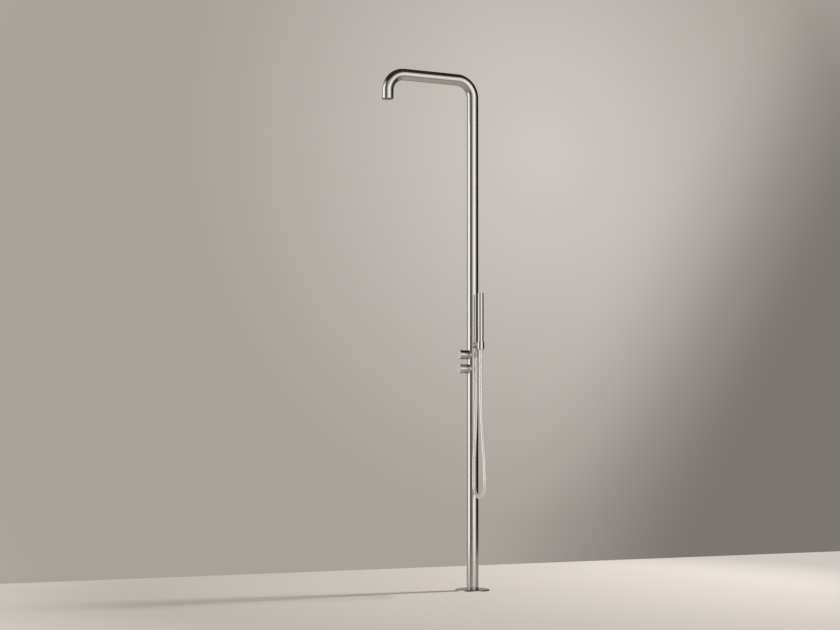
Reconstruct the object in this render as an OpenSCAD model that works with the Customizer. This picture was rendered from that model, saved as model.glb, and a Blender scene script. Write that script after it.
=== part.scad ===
// Free-standing shower column: one bent tube on a floor plate, two round controls,
// a stick handset in a cup, and the valves and pipes inside the tube.
// Millimetres, +Z up. The origin is the centre of the floor plate's underside.
// The spout reaches along -X and the handset hangs on the -Y side.

/* [Column tube] */
// Outside diameter of the column, arm and spout tube
tube_d = 50; // [46:1:56]
// Wall thickness of the tube
tube_wall = 2; // [1.5:0.1:2.5]
// Height of the top of the arm above the floor
column_h = 2200; // [2000:10:2400]
// Distance from the column's axis to the spout's axis
arm_reach = 400; // [300:10:500]
// Radius of both bends, on the tube's centreline
bend_r = 75; // [65:1:100]
// Straight length of tube below the second bend
drop_straight = 35; // [25:1:80]

/* [Foot] */
// Diameter of the flange that is screwed to the floor
flange_d = 134; // [126:1:150]
// Thickness of the flange
flange_t = 4; // [4:0.5:8]
// Height of the flange's hub, which the tube stands on
hub_h = 12; // [11:1:20]
// How far the loose cover plate reaches past the flange
cover_lip = 6; // [5:0.5:12]
// Sheet thickness of the cover plate
cover_t = 1; // [0.8:0.1:1.5]
// Radius of the cover plate's rolled edge, on its outside
cover_edge_r = 4; // [2:0.5:4.5]
// Pitch circle of the four floor screws
floor_pcd = 104; // [90:1:110]
// Diameter of the floor screw holes
floor_hole_d = 6.6; // [5.5:0.1:8]
// Diameter of the countersink on the flange's upper face
csk_d = 12; // [10:0.5:13]
// Height of the spigot that the tube is slid over
spigot_h = 120; // [80:5:200]
// Wall thickness of the spigot
spigot_wall = 2; // [1.5:0.1:2.2]
// Height of the two set screws above the flange's hub
set_screw_above = 6; // [4:0.5:20]
// Diameter of the set screws
set_screw_d = 5; // [4:0.5:6]

/* [Water inlets] */
// Height of the brass inlet block in the foot
inlet_block_h = 34; // [30:1:50]
// Distance between the hot and cold ports
inlet_pitch = 19.5; // [19:0.5:21]
// Minor diameter of the 3/8 inch port thread
inlet_thread_d = 14.95; // [12:0.05:15.2]
// Depth of the port thread
inlet_thread_l = 14; // [10:1:16]
// Length of the non-return cartridges above the threads
check_valve_l = 10; // [6:1:12]
// Outside diameter of the supply hoses in the column
supply_hose_d = 11; // [9:0.5:12]
// Bore of the supply hoses
supply_hose_bore = 7; // [5:0.5:8]
// Length of the crimped sleeve on each hose end
ferrule_l = 16; // [10:1:24]
// Diameter of the crimped sleeves
ferrule_d = 13.5; // [12.5:0.5:15]

/* [Controls] */
// Height of the lower control, which mixes and opens the water
mixer_z = 935; // [850:1:1000]
// Distance from the lower to the upper control
control_pitch = 60; // [58:1:80]
// Diameter of the knobs and of the fixed collars behind them
knob_d = 40; // [36:0.5:42]
// How far the knobs' end faces stand off the tube
knob_proud = 40; // [34:1:55]
// How far the fixed collars stand off the tube
collar_proud = 8; // [6:0.5:11]
// Running gap between collar and knob
knob_gap = 0.6; // [0.4:0.1:1]
// Wall thickness of the knob's turned shell
knob_wall = 2.4; // [2:0.1:4]
// Thickness of the knob's end face
knob_end_t = 3; // [2:0.5:6]
// Break on the knob's outer edge
knob_edge = 0.5; // [0.2:0.1:1.2]
// Height of the brass valve bodies
valve_h = 52; // [44:1:54]
// Diameter of the ceramic cartridges
cartridge_d = 26.8; // [24:0.2:27]
// Depth of the cartridges past the column's axis
cartridge_depth = 10; // [6:0.5:14]
// Wall of the bonnet nuts that hold the cartridges
bonnet_wall = 1.5; // [1.2:0.1:2]
// Diameter of the water ways between the valves
port_d = 10; // [7:0.5:11]
// Diameter of the control stems
stem_d = 8; // [6:0.5:10]
// Diameter of the knobs' grub screws
grub_d = 4; // [3:0.5:5]

/* [Pipes in the column] */
// Outside diameter of the riser pipe to the spout
riser_d = 14; // [12:0.5:14]
// Wall thickness of the riser pipe
riser_wall = 1; // [0.8:0.1:1.5]
// Thickness of the rings that centre the riser in the tube
spacer_t = 12; // [8:1:20]

/* [Spout outlet] */
// How far the spray plate sits inside the end of the tube
outlet_recess = 2; // [1:0.5:6]
// Height of the spout body in the end of the tube
spout_body_h = 20; // [16:1:28]
// Thickness of the spray plate
spray_plate_t = 1.5; // [1:0.5:3]
// Space between the outer ring of nozzles and the tube's bore
nozzle_margin = 5; // [4:0.5:7]
// Diameter of one soft nozzle
nozzle_d = 3; // [2:0.1:3.6]

/* [Handset holder] */
// Height of the holder arm's axis above the upper control
holder_above = 38; // [36:1:60]
// Diameter of the holder arm
holder_arm_d = 24; // [18:0.5:24]
// Finger room between the tube and the handset
handset_gap = 38.5; // [32:0.5:50]
// Clearance between the tube and the hose nut beside it
outlet_gap = 0.75; // [0.5:0.05:4]
// Diameter of the hose outlet under the arm
outlet_d = 15; // [14:0.5:15.5]
// Length of the hose outlet below the arm
outlet_l = 3; // [3:0.5:10]
// Wall of the cup at its rim
cup_wall = 2.65; // [2:0.05:5]
// Height of the cup
cup_h = 30; // [28:1:36]
// How far the cup's middle lies below the holder arm's axis
cup_drop = 2; // [0:0.5:4]
// Clearance between the cup and what it holds
cup_gap = 0.35; // [0.3:0.05:0.8]

/* [Handset] */
// Diameter of the handset
handset_d = 25; // [23:0.5:26]
// Height of the handset's top above the holder arm's axis
handset_above = 221; // [180:1:280]
// Wall thickness of the handset's metal tube
handset_wall = 1.5; // [1:0.1:2]
// Thickness of the handset's end cap
cap_t = 3; // [2:0.5:6]
// Length of the spray strip in the handset's side
strip_l = 66; // [40:1:80]
// Width of the spray strip
strip_w = 11; // [8:0.5:12]
// Nozzles along the spray strip
strip_count = 11; // [6:1:12]
// Diameter of the handset's threaded neck
neck_d = 16; // [14:0.5:17]

/* [Hose] */
// Outside diameter of the shower hose
hose_d = 14; // [12:0.5:14]
// Diameter of the hose nut under the holder arm
hose_nut_d = 16.5; // [15:0.5:17]
// Length of the hose nut under the holder arm
hose_nut_l = 35; // [20:1:40]
// Length of the tapered hose nut in the cup
cone_nut_l = 30; // [24:1:36]
// Diameter of the tapered nut's lower end
cone_nut_low_d = 20.5; // [18:0.5:22]

/* [Hidden] */
$fn = 64;

// Overlap of a cutting tool past the face that it cuts
cut = 1;
// Radial clearance of a shaft that turns in a bore
running = 0.05;
// Side clearance between pieces that are only assembled together
slip = 0.1;

tube_r = tube_d / 2;
bore_r = tube_r - tube_wall;
arm_z = column_h - tube_r;
bend_z = arm_z - bend_r;
outlet_z = bend_z - drop_straight;

spigot_r = bore_r - slip;
block_r = spigot_r - spigot_wall;
foot_top = flange_t + hub_h;
set_screw_z = foot_top + set_screw_above;
set_screw_angles = [10, 80];
set_screw_sink = 0.2;
hex_d = set_screw_d / 2;
floor_angles = [45, 135, 225, 315];
csk_depth = (csk_d - floor_hole_d) / 2;
cover_r = flange_d / 2 + cover_lip;
cover_bore_r = tube_r + 0.3;
cover_top = flange_t + cover_t;

check_valve_r = inlet_thread_d / 2 - 0.5;
check_valve_bore_r = 3;
hose_low = inlet_block_h;
valve_half = valve_h / 2;
hose_high = mixer_z - valve_half;

diverter_z = mixer_z + control_pitch;
valve_r = bore_r - 0.5;
socket_l = 10;
port_r = port_d / 2;
link_r = port_r + 3;
collar_face = tube_r + collar_proud;
knob_face = tube_r + knob_proud;
cartridge_r = cartridge_d / 2;
cartridge_out = tube_r - 1;
bonnet_r = cartridge_r + bonnet_wall;
bonnet_in = cartridge_out - 9;
bonnet_face = collar_face - 0.2;
collar_bore_r = bonnet_r + slip;
stem_r = stem_d / 2;
stem_in = cartridge_out - 16;
stem_end_gap = 0.4;
stem_out = knob_face - knob_end_t - 4;
knob_back = collar_face + knob_gap;
knob_bore_r = knob_d / 2 - knob_wall;
hub_in = knob_back + 3;
hub_out = knob_face - knob_end_t;
grub_at = (hub_in + hub_out) / 2;
grub_l = knob_d / 2 - stem_r - 7;
key_d = grub_d / 2;

riser_r = riser_d / 2;
riser_low = diverter_z + valve_half - socket_l;
riser_socket = 6;
riser_high = outlet_z + outlet_recess + spout_body_h - riser_socket;

holder_z = diverter_z + holder_above;
feed_r = 4;
feed_y = (riser_r + bore_r) / 2;
feed_block_w = 22;
feed_block_top = holder_z + feed_block_w / 2;
stub_r = 6.5;
stub_in = riser_r + 3;

plenum_h = 6;
plenum_wall = 3;
nozzle_ring_count = 3;
nozzle_step = (bore_r - nozzle_margin) / nozzle_ring_count;
nozzle_bore_d = 1.2;
nozzle_proud = 1;
mat_t = 1.5;
plate_z = outlet_z + outlet_recess;
seal_h = 3;
seal_w = 2;
seal_z = plate_z + spout_body_h - 2 * seal_h;

handset_r = handset_d / 2;
handset_y = tube_r + handset_gap + handset_r;
handset_top = holder_z + handset_above;
outlet_y = tube_r + outlet_gap + hose_nut_d / 2;
outlet_bore_r = outlet_d / 2 - 2;
thread_l = 8;
cup_z = holder_z - cup_drop - cup_h / 2;
cup_r = handset_r + cup_gap + cup_wall;
cone_low = cup_z - 4;
cone_top = cone_low + cone_nut_l;
cone_low_r = cone_nut_low_d / 2;
cone_top_r = handset_r - 0.3;
cup_bore_top_r = handset_r + cup_gap;
cup_bore_low_r = cone_low_r + cup_gap + (cone_top_r - cone_low_r) * (cup_z - cone_low) / cone_nut_l;
nipple_low = holder_z - holder_arm_d / 2 - outlet_l;
nipple_h = outlet_l + thread_l;
hose_nut_low = nipple_low - hose_nut_l;

handset_low = cone_top;
liner_r = handset_r - handset_wall - slip;
liner_wall = 2;
plug_h = 6;
strip_top = handset_top - 14;
strip_low = strip_top - strip_l;
strip_mid = (strip_low + strip_top) / 2;
strip_nozzle_d = 2;
strip_nozzle_bore_d = 0.9;
strip_row = 2.4;
tail_h = 16;
neck_l = 10;
neck_r = neck_d / 2;
washer_t = 2;

hose_r = hose_d / 2;
hose_sides = 12;

// Route of the shower hose, from the nut under the holder arm to the handset
hose_route = [
    [0, -34, 983], [0, -34, 945], [0, -34, 905], [0, -34, 865], [0, -34, 825],
    [-0.5, -34, 785], [-1.5, -34, 745], [-3, -34.5, 705], [-4.5, -34.5, 665],
    [-6.5, -34.5, 625], [-8, -33.5, 585], [-9.5, -32.5, 545], [-10, -32.5, 505],
    [-10, -32.5, 475], [-10, -32.5, 451], [-10.3, -36.8, 429], [-11, -49, 410.7],
    [-12.2, -67.5, 398.4], [-13.5, -89.2, 394], [-14.8, -111, 398.4], [-16, -129.5, 410.7],
    [-16.7, -141.7, 429], [-17, -146, 451], [-17, -145.5, 475], [-16.8, -143.5, 505],
    [-15.6, -138, 545], [-13.5, -129, 585], [-11.3, -118.5, 625], [-8.5, -108, 665],
    [-6.3, -98, 705], [-3.7, -89, 745], [-1.8, -82, 785], [-0.5, -78, 825],
    [0, -76, 865], [0, -76, 905], [0, -76, 945], [0, -76, 985], [0, -76, 1012]
];

module ring(r_out, r_in, h) {
    difference() {
        cylinder(r = r_out, h = h);
        translate([0, 0, -cut]) cylinder(r = r_in, h = h + 2 * cut);
    }
}

// A round bar along X, from x = -far to x = -near
module along_x(r, near, far) {
    translate([-far, 0, 0]) rotate([0, 90, 0]) cylinder(r = r, h = far - near);
}

// A round bar along Y, from y = -far to y = -near
module along_y(r, near, far) {
    translate([0, -near, 0]) rotate([90, 0, 0]) cylinder(r = r, h = far - near);
}

// One quarter bend of a pipe, from straight up to straight along -X
module quarter_bend(r_out, r_in) {
    translate([-bend_r, 0, 0]) rotate([90, 0, 0])
        rotate_extrude(angle = 90) translate([bend_r, 0]) difference() {
            circle(r = r_out);
            circle(r = r_in);
        }
}

// A pipe on the column's centreline, from z = low up, over the arm and down to z = far_end
module bent_pipe(r_out, r_in, low, far_end) {
    translate([0, 0, low]) ring(r_out, r_in, bend_z - low);
    translate([0, 0, bend_z]) quarter_bend(r_out, r_in);
    translate([-bend_r, 0, arm_z]) rotate([0, -90, 0]) ring(r_out, r_in, arm_reach - 2 * bend_r);
    translate([-arm_reach, 0, bend_z]) mirror([1, 0, 0]) quarter_bend(r_out, r_in);
    translate([-arm_reach, 0, far_end]) ring(r_out, r_in, bend_z - far_end);
}

module at_floor_screws() {
    for (a = floor_angles) rotate([0, 0, a]) translate([floor_pcd / 2, 0, 0]) children();
}

module at_set_screws() {
    for (a = set_screw_angles) rotate([0, 0, a]) translate([0, 0, set_screw_z]) rotate([0, 90, 0])
        children();
}

module at_inlets() {
    for (s = [-1, 1]) translate([0, s * inlet_pitch / 2, 0]) children();
}

module at_spout(z) {
    translate([-arm_reach, 0, z]) children();
}

module at_handset(z) {
    translate([0, -handset_y, z]) children();
}

// One tube, bent twice, drilled for the controls, the holder arm and the set screws
module column_tube() {
    color("silver") difference() {
        bent_pipe(tube_r, bore_r, foot_top, outlet_z);
        for (z = [mixer_z, diverter_z])
            translate([0, 0, z]) along_x(collar_bore_r, bore_r / 2, tube_r + cut);
        translate([0, 0, holder_z]) along_y(stub_r + slip, bore_r / 2, tube_r + cut);
        at_set_screws() cylinder(d = set_screw_d, h = tube_r + cut);
    }
}

// Turned plate with a hub as wide as the tube
module floor_flange() {
    color("gray") difference() {
        union() {
            ring(flange_d / 2, block_r, flange_t);
            ring(tube_r, block_r, foot_top);
        }
        at_floor_screws() translate([0, 0, -cut]) cylinder(d = floor_hole_d, h = flange_t + 2 * cut);
        at_floor_screws() translate([0, 0, flange_t - csk_depth])
            cylinder(d1 = floor_hole_d, d2 = csk_d, h = csk_depth);
    }
}

// Short tube welded up from the hub, which the column is slid over
module foot_spigot() {
    color("gray") difference() {
        translate([0, 0, foot_top]) ring(spigot_r, block_r, spigot_h);
        at_set_screws() cylinder(d = set_screw_d, h = tube_r);
    }
}

// Hex-socket screws that lock the tube on its spigot, flush with the tube's surface
module foot_set_screws() {
    color("dimgray") difference() {
        intersection() {
            at_set_screws() cylinder(d = set_screw_d, h = tube_r);
            ring(tube_r - set_screw_sink, block_r, 2 * set_screw_z);
        }
        at_set_screws() translate([0, 0, tube_r - hex_d]) cylinder(d = hex_d, h = hex_d, $fn = 6);
    }
}

// Thin spun plate with a rolled edge, loose on the tube so that it lifts off the floor screws
module floor_cover() {
    edge_at = cover_r - cover_edge_r;
    edge_z = cover_top - cover_edge_r;
    color("silver") rotate_extrude() difference() {
        union() {
            translate([cover_bore_r, 0]) square([edge_at - cover_bore_r, cover_top]);
            translate([cover_bore_r, 0]) square([cover_r - cover_bore_r, edge_z]);
            intersection() {
                translate([edge_at, edge_z]) circle(r = cover_edge_r);
                translate([edge_at, edge_z]) square(cover_edge_r);
            }
        }
        translate([tube_r, -cut]) square([edge_at - tube_r, flange_t + cut]);
        translate([tube_r, -cut]) square([cover_r - cover_t - tube_r, edge_z + cut]);
        translate([edge_at, edge_z]) circle(r = cover_edge_r - cover_t);
    }
}

module inlet_block() {
    color("goldenrod") difference() {
        cylinder(r = block_r, h = inlet_block_h);
        at_inlets() translate([0, 0, -cut]) cylinder(d = inlet_thread_d, h = inlet_thread_l + cut);
        at_inlets() cylinder(r = check_valve_r, h = inlet_thread_l + check_valve_l);
        at_inlets() cylinder(d = supply_hose_bore, h = inlet_block_h + cut);
    }
}

// Spring-loaded non-return cartridges, seated above the port threads
module check_valves() {
    color("ivory") at_inlets() translate([0, 0, inlet_thread_l])
        ring(check_valve_r, check_valve_bore_r, check_valve_l);
}

module supply_hose() {
    translate([0, 0, hose_low]) ring(supply_hose_d / 2, supply_hose_bore / 2, hose_high - hose_low);
}

module hot_supply_hose() {
    color("lightgray") translate([0, inlet_pitch / 2, 0]) supply_hose();
}

module cold_supply_hose() {
    color("lightgray") translate([0, -inlet_pitch / 2, 0]) supply_hose();
}

module supply_ferrules() {
    color("silver") at_inlets() for (z = [hose_low, hose_high - ferrule_l])
        translate([0, 0, z]) ring(ferrule_d / 2, supply_hose_d / 2, ferrule_l);
}

// Fixed collars, coped to the round of the tube and brazed on
module control_collars() {
    color("silver") for (z = [mixer_z, diverter_z]) translate([0, 0, z]) difference() {
        along_x(knob_d / 2, 0, collar_face);
        along_x(collar_bore_r, -cut, collar_face + cut);
        translate([0, 0, -knob_d]) cylinder(r = tube_r, h = 2 * knob_d);
    }
}

// What a valve body is bored for: the cartridge and the bonnet nut
module valve_bores() {
    along_x(cartridge_r + slip, -cartridge_depth, tube_r);
    along_x(bonnet_r, bonnet_in, tube_r);
}

module mixer_body() {
    color("goldenrod") translate([0, 0, mixer_z]) difference() {
        translate([0, 0, -valve_half]) cylinder(r = valve_r, h = valve_h);
        valve_bores();
        at_inlets() translate([0, 0, -valve_half - cut])
            cylinder(d = supply_hose_bore, h = valve_half + cut);
        cylinder(r = port_r, h = valve_h);
        translate([0, 0, valve_half - socket_l]) cylinder(r = link_r, h = socket_l + cut);
    }
}

module link_nipple() {
    color("goldenrod") translate([0, 0, mixer_z + valve_half - socket_l])
        ring(link_r, port_r, control_pitch - valve_h + 2 * socket_l);
}

// Body with a block on top of it that feeds the holder arm
module diverter_body() {
    block_h = feed_block_top - diverter_z;
    color("goldenrod") translate([0, 0, diverter_z]) difference() {
        union() {
            translate([0, 0, -valve_half]) cylinder(r = valve_r, h = valve_h);
            intersection() {
                cylinder(r = valve_r, h = block_h);
                translate([-feed_block_w / 2, -tube_r, 0])
                    cube([feed_block_w, tube_r - riser_r - 1, block_h]);
            }
        }
        valve_bores();
        translate([0, 0, -valve_half - cut]) cylinder(r = port_r, h = valve_half);
        translate([0, 0, -valve_half - cut]) cylinder(r = link_r, h = socket_l + cut);
        cylinder(r = riser_r - riser_wall, h = valve_h);
        translate([0, 0, valve_half - socket_l]) cylinder(r = riser_r, h = socket_l + cut);
        translate([0, -feed_y, 0]) cylinder(r = feed_r, h = holder_z - diverter_z);
        translate([0, 0, holder_z - diverter_z]) along_y(stub_r, stub_in, tube_r);
    }
}

module cartridge(z) {
    translate([0, 0, z]) difference() {
        along_x(cartridge_r, -cartridge_depth, cartridge_out);
        along_x(stem_r + running, stem_in - stem_end_gap, cartridge_out + cut);
    }
}

module bonnet(z) {
    translate([0, 0, z]) difference() {
        along_x(bonnet_r, bonnet_in, bonnet_face);
        along_x(cartridge_r, bonnet_in - cut, cartridge_out);
        along_x(stem_r + cut, bonnet_in, bonnet_face + cut);
    }
}

module stem(z) {
    translate([0, 0, z]) along_x(stem_r, stem_in, stem_out);
}

// Turned shell with its open side to the column
module knob(z) {
    knob_r = knob_d / 2;
    translate([-knob_face, 0, z]) rotate([0, 90, 0]) difference() {
        rotate_extrude() difference() {
            polygon([
                [0, 0], [knob_r - knob_edge, 0], [knob_r, knob_edge],
                [knob_r, knob_face - knob_back], [0, knob_face - knob_back]
            ]);
            translate([-cut, knob_end_t]) square([knob_bore_r + cut, knob_face]);
        }
        translate([0, 0, knob_face - grub_at]) rotate([0, 90, 0]) cylinder(d = grub_d, h = knob_d);
    }
}

// Hub that holds the stem inside the knob's shell
module knob_hub(z) {
    translate([0, 0, z]) difference() {
        along_x(knob_bore_r, hub_in, hub_out);
        along_x(stem_r, hub_in - cut, stem_out);
        translate([-grub_at, 0, -knob_d]) cylinder(d = grub_d, h = knob_d);
    }
}

// Screw through the hub's underside that bears on the stem
module grub_screw(z) {
    translate([-grub_at, 0, z - stem_r - grub_l]) difference() {
        cylinder(d = grub_d, h = grub_l);
        translate([0, 0, -cut]) cylinder(d = key_d, h = key_d + cut, $fn = 6);
    }
}

module mixer_cartridge() { color("ivory") cartridge(mixer_z); }
module diverter_cartridge() { color("ivory") cartridge(diverter_z); }
module mixer_bonnet() { color("goldenrod") bonnet(mixer_z); }
module diverter_bonnet() { color("goldenrod") bonnet(diverter_z); }
module mixer_stem() { color("gray") stem(mixer_z); }
module diverter_stem() { color("gray") stem(diverter_z); }
module mixer_knob() { color("silver") knob(mixer_z); }
module diverter_knob() { color("silver") knob(diverter_z); }
module mixer_knob_hub() { color("dimgray") knob_hub(mixer_z); }
module diverter_knob_hub() { color("dimgray") knob_hub(diverter_z); }
module mixer_grub_screw() { color("dimgray") grub_screw(mixer_z); }
module diverter_grub_screw() { color("dimgray") grub_screw(diverter_z); }

// Copper pipe from the diverter to the spout, on the tube's own centreline
module riser_pipe() {
    color("peru") bent_pipe(riser_r, riser_r - riser_wall, riser_low, riser_high);
}

// Rings that hold the riser in the middle of the tube: three in the column, one in the arm
module riser_spacers() {
    low_z = feed_block_top + column_h / 15;
    step = (bend_z - low_z) / 3;
    color("dimgray") for (i = [0 : 2]) translate([0, 0, low_z + i * step])
        ring(bore_r, riser_r, spacer_t);
    color("dimgray") translate([-arm_reach / 2, 0, arm_z]) rotate([0, -90, 0])
        ring(bore_r, riser_r, spacer_t);
}

// One nozzle in the middle, then rings of 6, 12 and 18
module at_nozzles() {
    children();
    for (i = [1 : nozzle_ring_count], j = [1 : 6 * i])
        rotate([0, 0, j * 60 / i]) translate([i * nozzle_step, 0, 0]) children();
}

// Plug in the end of the tube: a socket for the riser over a shallow water chamber
module spout_body() {
    body_low = spray_plate_t + mat_t;
    color("ivory") at_spout(plate_z) difference() {
        translate([0, 0, body_low]) cylinder(r = bore_r, h = spout_body_h - body_low);
        cylinder(r = bore_r - plenum_wall, h = body_low + plenum_h);
        cylinder(r = riser_r - riser_wall, h = spout_body_h);
        translate([0, 0, spout_body_h - riser_socket]) cylinder(r = riser_r, h = riser_socket + cut);
        translate([0, 0, seal_z - plate_z]) ring(bore_r + cut, bore_r - seal_w, seal_h);
    }
}

// Rubber ring in the spout body's groove
module spout_seal() {
    color("black") at_spout(seal_z) ring(bore_r, bore_r - seal_w, seal_h);
}

module spray_plate() {
    color("silver") at_spout(plate_z) difference() {
        cylinder(r = bore_r, h = spray_plate_t);
        translate([0, 0, -cut]) at_nozzles() cylinder(d = nozzle_d, h = spray_plate_t + 2 * cut);
    }
}

// One soft mat with a nozzle through each hole of the spray plate
module spray_nozzles() {
    nozzle_h = spray_plate_t + nozzle_proud + mat_t;
    color("gray") at_spout(plate_z) difference() {
        union() {
            translate([0, 0, spray_plate_t]) cylinder(r = bore_r, h = mat_t);
            translate([0, 0, -nozzle_proud]) at_nozzles() cylinder(d = nozzle_d, h = nozzle_h);
        }
        translate([0, 0, -nozzle_proud - cut]) at_nozzles()
            cylinder(d = nozzle_bore_d, h = nozzle_h + 2 * cut);
    }
}

// Water-carrying arm, with a threaded stub through the tube's wall
module holder_arm() {
    color("silver") difference() {
        translate([0, 0, holder_z]) union() {
            difference() {
                along_y(holder_arm_d / 2, 0, handset_y);
                translate([0, 0, -holder_arm_d]) cylinder(r = tube_r, h = 2 * holder_arm_d);
            }
            along_y(stub_r, stub_in + 1, tube_r + cut);
        }
        at_handset(cup_z - cut) cylinder(r = cup_r, h = cup_h + 2 * cut);
        translate([0, 0, holder_z]) along_y(feed_r, stub_in, outlet_y + feed_r);
        translate([0, -outlet_y, nipple_low]) cylinder(r = outlet_bore_r, h = holder_z - nipple_low);
    }
}

// Ring with a tapered bore that the hose's tapered nut drops into
module holder_cup() {
    taper_h = cone_top - cup_z;
    color("silver") at_handset(cup_z) rotate_extrude() polygon([
        [cup_bore_low_r, 0], [cup_r, 0], [cup_r, cup_h],
        [cup_bore_top_r, cup_h], [cup_bore_top_r, taper_h]
    ]);
}

// Short outlet screwed up into the arm, with a shoulder coped to the arm's underside
module hose_outlet_nipple() {
    color("silver") difference() {
        union() {
            translate([0, -outlet_y, nipple_low]) cylinder(r = outlet_bore_r, h = nipple_h);
            difference() {
                translate([0, -outlet_y, nipple_low]) cylinder(d = outlet_d, h = nipple_h);
                translate([0, 0, holder_z]) along_y(holder_arm_d / 2, 0, 2 * outlet_y);
            }
        }
        translate([0, -outlet_y, nipple_low - cut])
            cylinder(r = check_valve_bore_r, h = nipple_h + 2 * cut);
    }
}

// Non-return cartridge in the hose nut, just below the outlet
module outlet_check_valve() {
    color("ivory") translate([0, -outlet_y, nipple_low - thread_l])
        ring(outlet_bore_r, check_valve_bore_r, thread_l);
}

module hose_nut_column() {
    color("silver") translate([0, -outlet_y, hose_nut_low]) difference() {
        cylinder(d = hose_nut_d, h = hose_nut_l);
        translate([0, 0, hose_nut_l - thread_l]) cylinder(r = outlet_bore_r, h = thread_l + cut);
        translate([0, 0, -cut]) cylinder(r = check_valve_bore_r, h = hose_nut_l);
    }
}

function unit(v) = v / norm(v);

// The hose leaves both nuts straight down, and lies near a plane of constant X
function along_hose(p, i) =
    i == 0 ? [0, 0, -1] : i == len(p) - 1 ? [0, 0, 1] : unit(p[i + 1] - p[i - 1]);
function hose_ring(p, i) =
    let (t = along_hose(p, i), u = unit(cross(t, [1, 0, 0])), v = cross(t, u))
    [for (k = [0 : hose_sides - 1])
        p[i] + hose_r * (cos(k * 360 / hose_sides) * u + sin(k * 360 / hose_sides) * v)];

module shower_hose() {
    n = len(hose_route);
    m = hose_sides;
    points = [for (i = [0 : n - 1]) each hose_ring(hose_route, i)];
    sides = [for (i = [0 : n - 2], k = [0 : m - 1])
        let (a = i * m + k, b = i * m + (k + 1) % m)
        each [[a, b, b + m], [a, b + m, a + m]]];
    caps = [for (k = [1 : m - 2])
        each [[0, k + 1, k], [(n - 1) * m, (n - 1) * m + k, (n - 1) * m + k + 1]]];
    color("gainsboro") polyhedron(points = points, faces = concat(sides, caps));
}

// The slot with round ends in the handset's side, away from the spout, for the spray strip
module strip_slot() {
    straight = strip_l - strip_w;
    translate([0, 0, strip_mid]) {
        for (s = [-1, 1]) translate([0, 0, s * straight / 2]) rotate([0, 90, 0])
            cylinder(d = strip_w, h = handset_d);
        translate([0, -strip_w / 2, -straight / 2]) cube([handset_d, strip_w, straight]);
    }
}

module at_strip_nozzles() {
    pitch = (strip_l - strip_w) / (strip_count - 1);
    for (i = [0 : strip_count - 1], s = [-1, 1])
        translate([0, s * strip_row, strip_mid + (i - (strip_count - 1) / 2) * pitch])
            rotate([0, 90, 0]) children();
}

module handset_tube() {
    color("silver") at_handset(0) difference() {
        translate([0, 0, handset_low])
            ring(handset_r, handset_r - handset_wall, handset_top - cap_t - handset_low);
        strip_slot();
    }
}

module handset_cap() {
    color("silver") at_handset(handset_top - cap_t) {
        cylinder(r = handset_r, h = cap_t);
        translate([0, 0, -plug_h]) cylinder(r = liner_r, h = plug_h + cut);
    }
}

// Plastic water tube inside the metal one
module handset_liner() {
    liner_low = handset_low + tail_h;
    color("ivory") at_handset(0) difference() {
        translate([0, 0, liner_low])
            ring(liner_r, liner_r - liner_wall, handset_top - cap_t - plug_h - liner_low);
        strip_slot();
    }
}

module handset_spray_strip() {
    strip_in = liner_r - liner_wall;
    color("gray") at_handset(0) difference() {
        union() {
            intersection() {
                strip_slot();
                translate([0, 0, strip_low]) ring(handset_r, strip_in, strip_l);
            }
            at_strip_nozzles() translate([0, 0, strip_in])
                cylinder(d = strip_nozzle_d, h = handset_r + running - strip_in);
        }
        at_strip_nozzles() cylinder(d = strip_nozzle_bore_d, h = handset_d);
    }
}

// Brass tail that closes the handset's lower end and takes the hose nut
module handset_tail() {
    color("goldenrod") at_handset(handset_low) difference() {
        union() {
            translate([0, 0, -neck_l]) cylinder(r = neck_r, h = neck_l + cut);
            cylinder(r = handset_r - handset_wall, h = tail_h);
        }
        translate([0, 0, -neck_l - cut]) cylinder(r = feed_r, h = tail_h + neck_l + 2 * cut);
    }
}

module handset_washer() {
    color("black") at_handset(handset_low - neck_l - washer_t) ring(neck_r, feed_r, washer_t);
}

module hose_nut_handset() {
    recess = neck_l + washer_t;
    color("silver") at_handset(cone_low) difference() {
        cylinder(r1 = cone_low_r, r2 = cone_top_r, h = cone_nut_l);
        translate([0, 0, cone_nut_l - recess]) cylinder(r = neck_r, h = recess + cut);
        translate([0, 0, -cut]) cylinder(r = feed_r, h = cone_nut_l);
    }
}

column_tube();
floor_flange();
foot_spigot();
foot_set_screws();
floor_cover();
inlet_block();
check_valves();
hot_supply_hose();
cold_supply_hose();
supply_ferrules();
control_collars();
mixer_body();
mixer_cartridge();
mixer_bonnet();
link_nipple();
diverter_body();
diverter_cartridge();
diverter_bonnet();
riser_pipe();
riser_spacers();
spout_body();
spout_seal();
spray_plate();
spray_nozzles();
holder_arm();
holder_cup();
hose_outlet_nipple();
outlet_check_valve();
hose_nut_column();
shower_hose();
mixer_knob();
mixer_knob_hub();
mixer_stem();
mixer_grub_screw();
diverter_knob();
diverter_knob_hub();
diverter_stem();
diverter_grub_screw();
handset_tube();
handset_cap();
handset_liner();
handset_spray_strip();
handset_tail();
handset_washer();
hose_nut_handset();
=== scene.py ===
import math

import bmesh
import bpy
from mathutils import Matrix, Vector


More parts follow.
